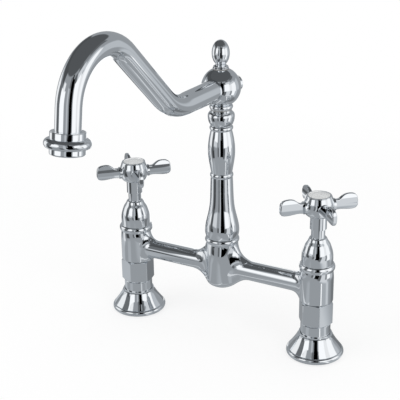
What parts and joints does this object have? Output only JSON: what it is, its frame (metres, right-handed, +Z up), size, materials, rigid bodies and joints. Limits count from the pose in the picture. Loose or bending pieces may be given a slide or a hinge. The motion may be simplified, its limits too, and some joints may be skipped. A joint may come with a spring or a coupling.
{
  "type": "bridge kitchen faucet",
  "caption": "Deck-mounted bridge kitchen faucet with a swivelling swan-neck spout on a turned column and cross handles on both supply legs.",
  "frame": {"origin": "on the deck plane, midway between the two supply legs, at the deck mount", "axes": "+Z up along the column, -Y forward along the spout, +X towards the cold leg"},
  "size_m": [0.26, 0.2775, 0.3966],
  "materials": {
    "chrome_body": "polished chrome plating",
    "chrome_spout": "polished chrome plating",
    "chrome_handle": "polished chrome plating",
    "chrome_trim": "polished chrome plating",
    "plated_shank": "machined brass, chrome plated on the collar above the deck",
    "bare_brass": "machined brass",
    "washer_steel": "stamped steel",
    "black_rubber": "moulded rubber",
    "white_plastic": "plain bearing plastic",
    "screen_plastic": "moulded plastic",
    "valve_ceramic": "lapped ceramic",
    "porcelain": "white glaze"
  },
  "bodies": {
    "faucet_body": {"bridge_body": "chrome_body", "lower_column": "chrome_body", "upper_column": "chrome_body", "riser_tube": "bare_brass", "column_gasket": "black_rubber", "swivel_post": "chrome_trim", "swivel_o_rings": "black_rubber", "bearing_washer": "white_plastic", "thrust_washer": "white_plastic", "finial": "chrome_trim", "hot_deck_flange": "chrome_trim", "hot_flange_seal": "black_rubber", "hot_shank": "plated_shank", "hot_union_gasket": "black_rubber", "hot_union_tail": "bare_brass", "hot_union_nut": "chrome_trim", "hot_rubber_washer": "black_rubber", "hot_metal_washer": "washer_steel", "hot_lock_nut": "bare_brass", "hot_cartridge_body": "bare_brass", "hot_cartridge_o_ring": "black_rubber", "hot_seat_seal": "black_rubber", "hot_fixed_disc": "valve_ceramic", "hot_bonnet": "chrome_body", "hot_stem_sleeve": "chrome_trim", "cold_deck_flange": "chrome_trim", "cold_flange_seal": "black_rubber", "cold_shank": "plated_shank", "cold_union_gasket": "black_rubber", "cold_union_tail": "bare_brass", "cold_union_nut": "chrome_trim", "cold_rubber_washer": "black_rubber", "cold_metal_washer": "washer_steel", "cold_lock_nut": "bare_brass", "cold_cartridge_body": "bare_brass", "cold_cartridge_o_ring": "black_rubber", "cold_seat_seal": "black_rubber", "cold_fixed_disc": "valve_ceramic", "cold_bonnet": "chrome_body", "cold_stem_sleeve": "chrome_trim"},
    "spout": {"spout_hub": "chrome_spout", "rear_plug": "chrome_trim", "spout_tube": "chrome_spout", "spout_collar": "chrome_spout", "aerator_gasket": "black_rubber", "aerator_housing": "chrome_trim", "aerator_insert": "screen_plastic"},
    "hot_handle": {"hot_cross_handle": "chrome_handle", "hot_valve_stem": "bare_brass", "hot_moving_disc": "valve_ceramic", "hot_stem_o_ring": "black_rubber", "hot_handle_screw": "washer_steel", "hot_index_button": "porcelain"},
    "cold_handle": {"cold_cross_handle": "chrome_handle", "cold_valve_stem": "bare_brass", "cold_moving_disc": "valve_ceramic", "cold_stem_o_ring": "black_rubber", "cold_handle_screw": "washer_steel", "cold_index_button": "porcelain"}
  },
  "joints": [
    {"name": "spout_swivel", "type": "hinge", "parent": "faucet_body", "child": "spout", "pos_m": [0, 0, 0.2516], "axis": [0, 0, 1], "continuous": true},
    {"name": "hot_handle_turn", "type": "hinge", "parent": "faucet_body", "child": "hot_handle", "pos_m": [-0.1016, 0, 0.13], "axis": [0, 0, 1], "range_deg": [0, 90]},
    {"name": "cold_handle_turn", "type": "hinge", "parent": "faucet_body", "child": "cold_handle", "pos_m": [0.1016, 0, 0.13], "axis": [0, 0, 1], "range_deg": [-90, 0]}
  ]
}
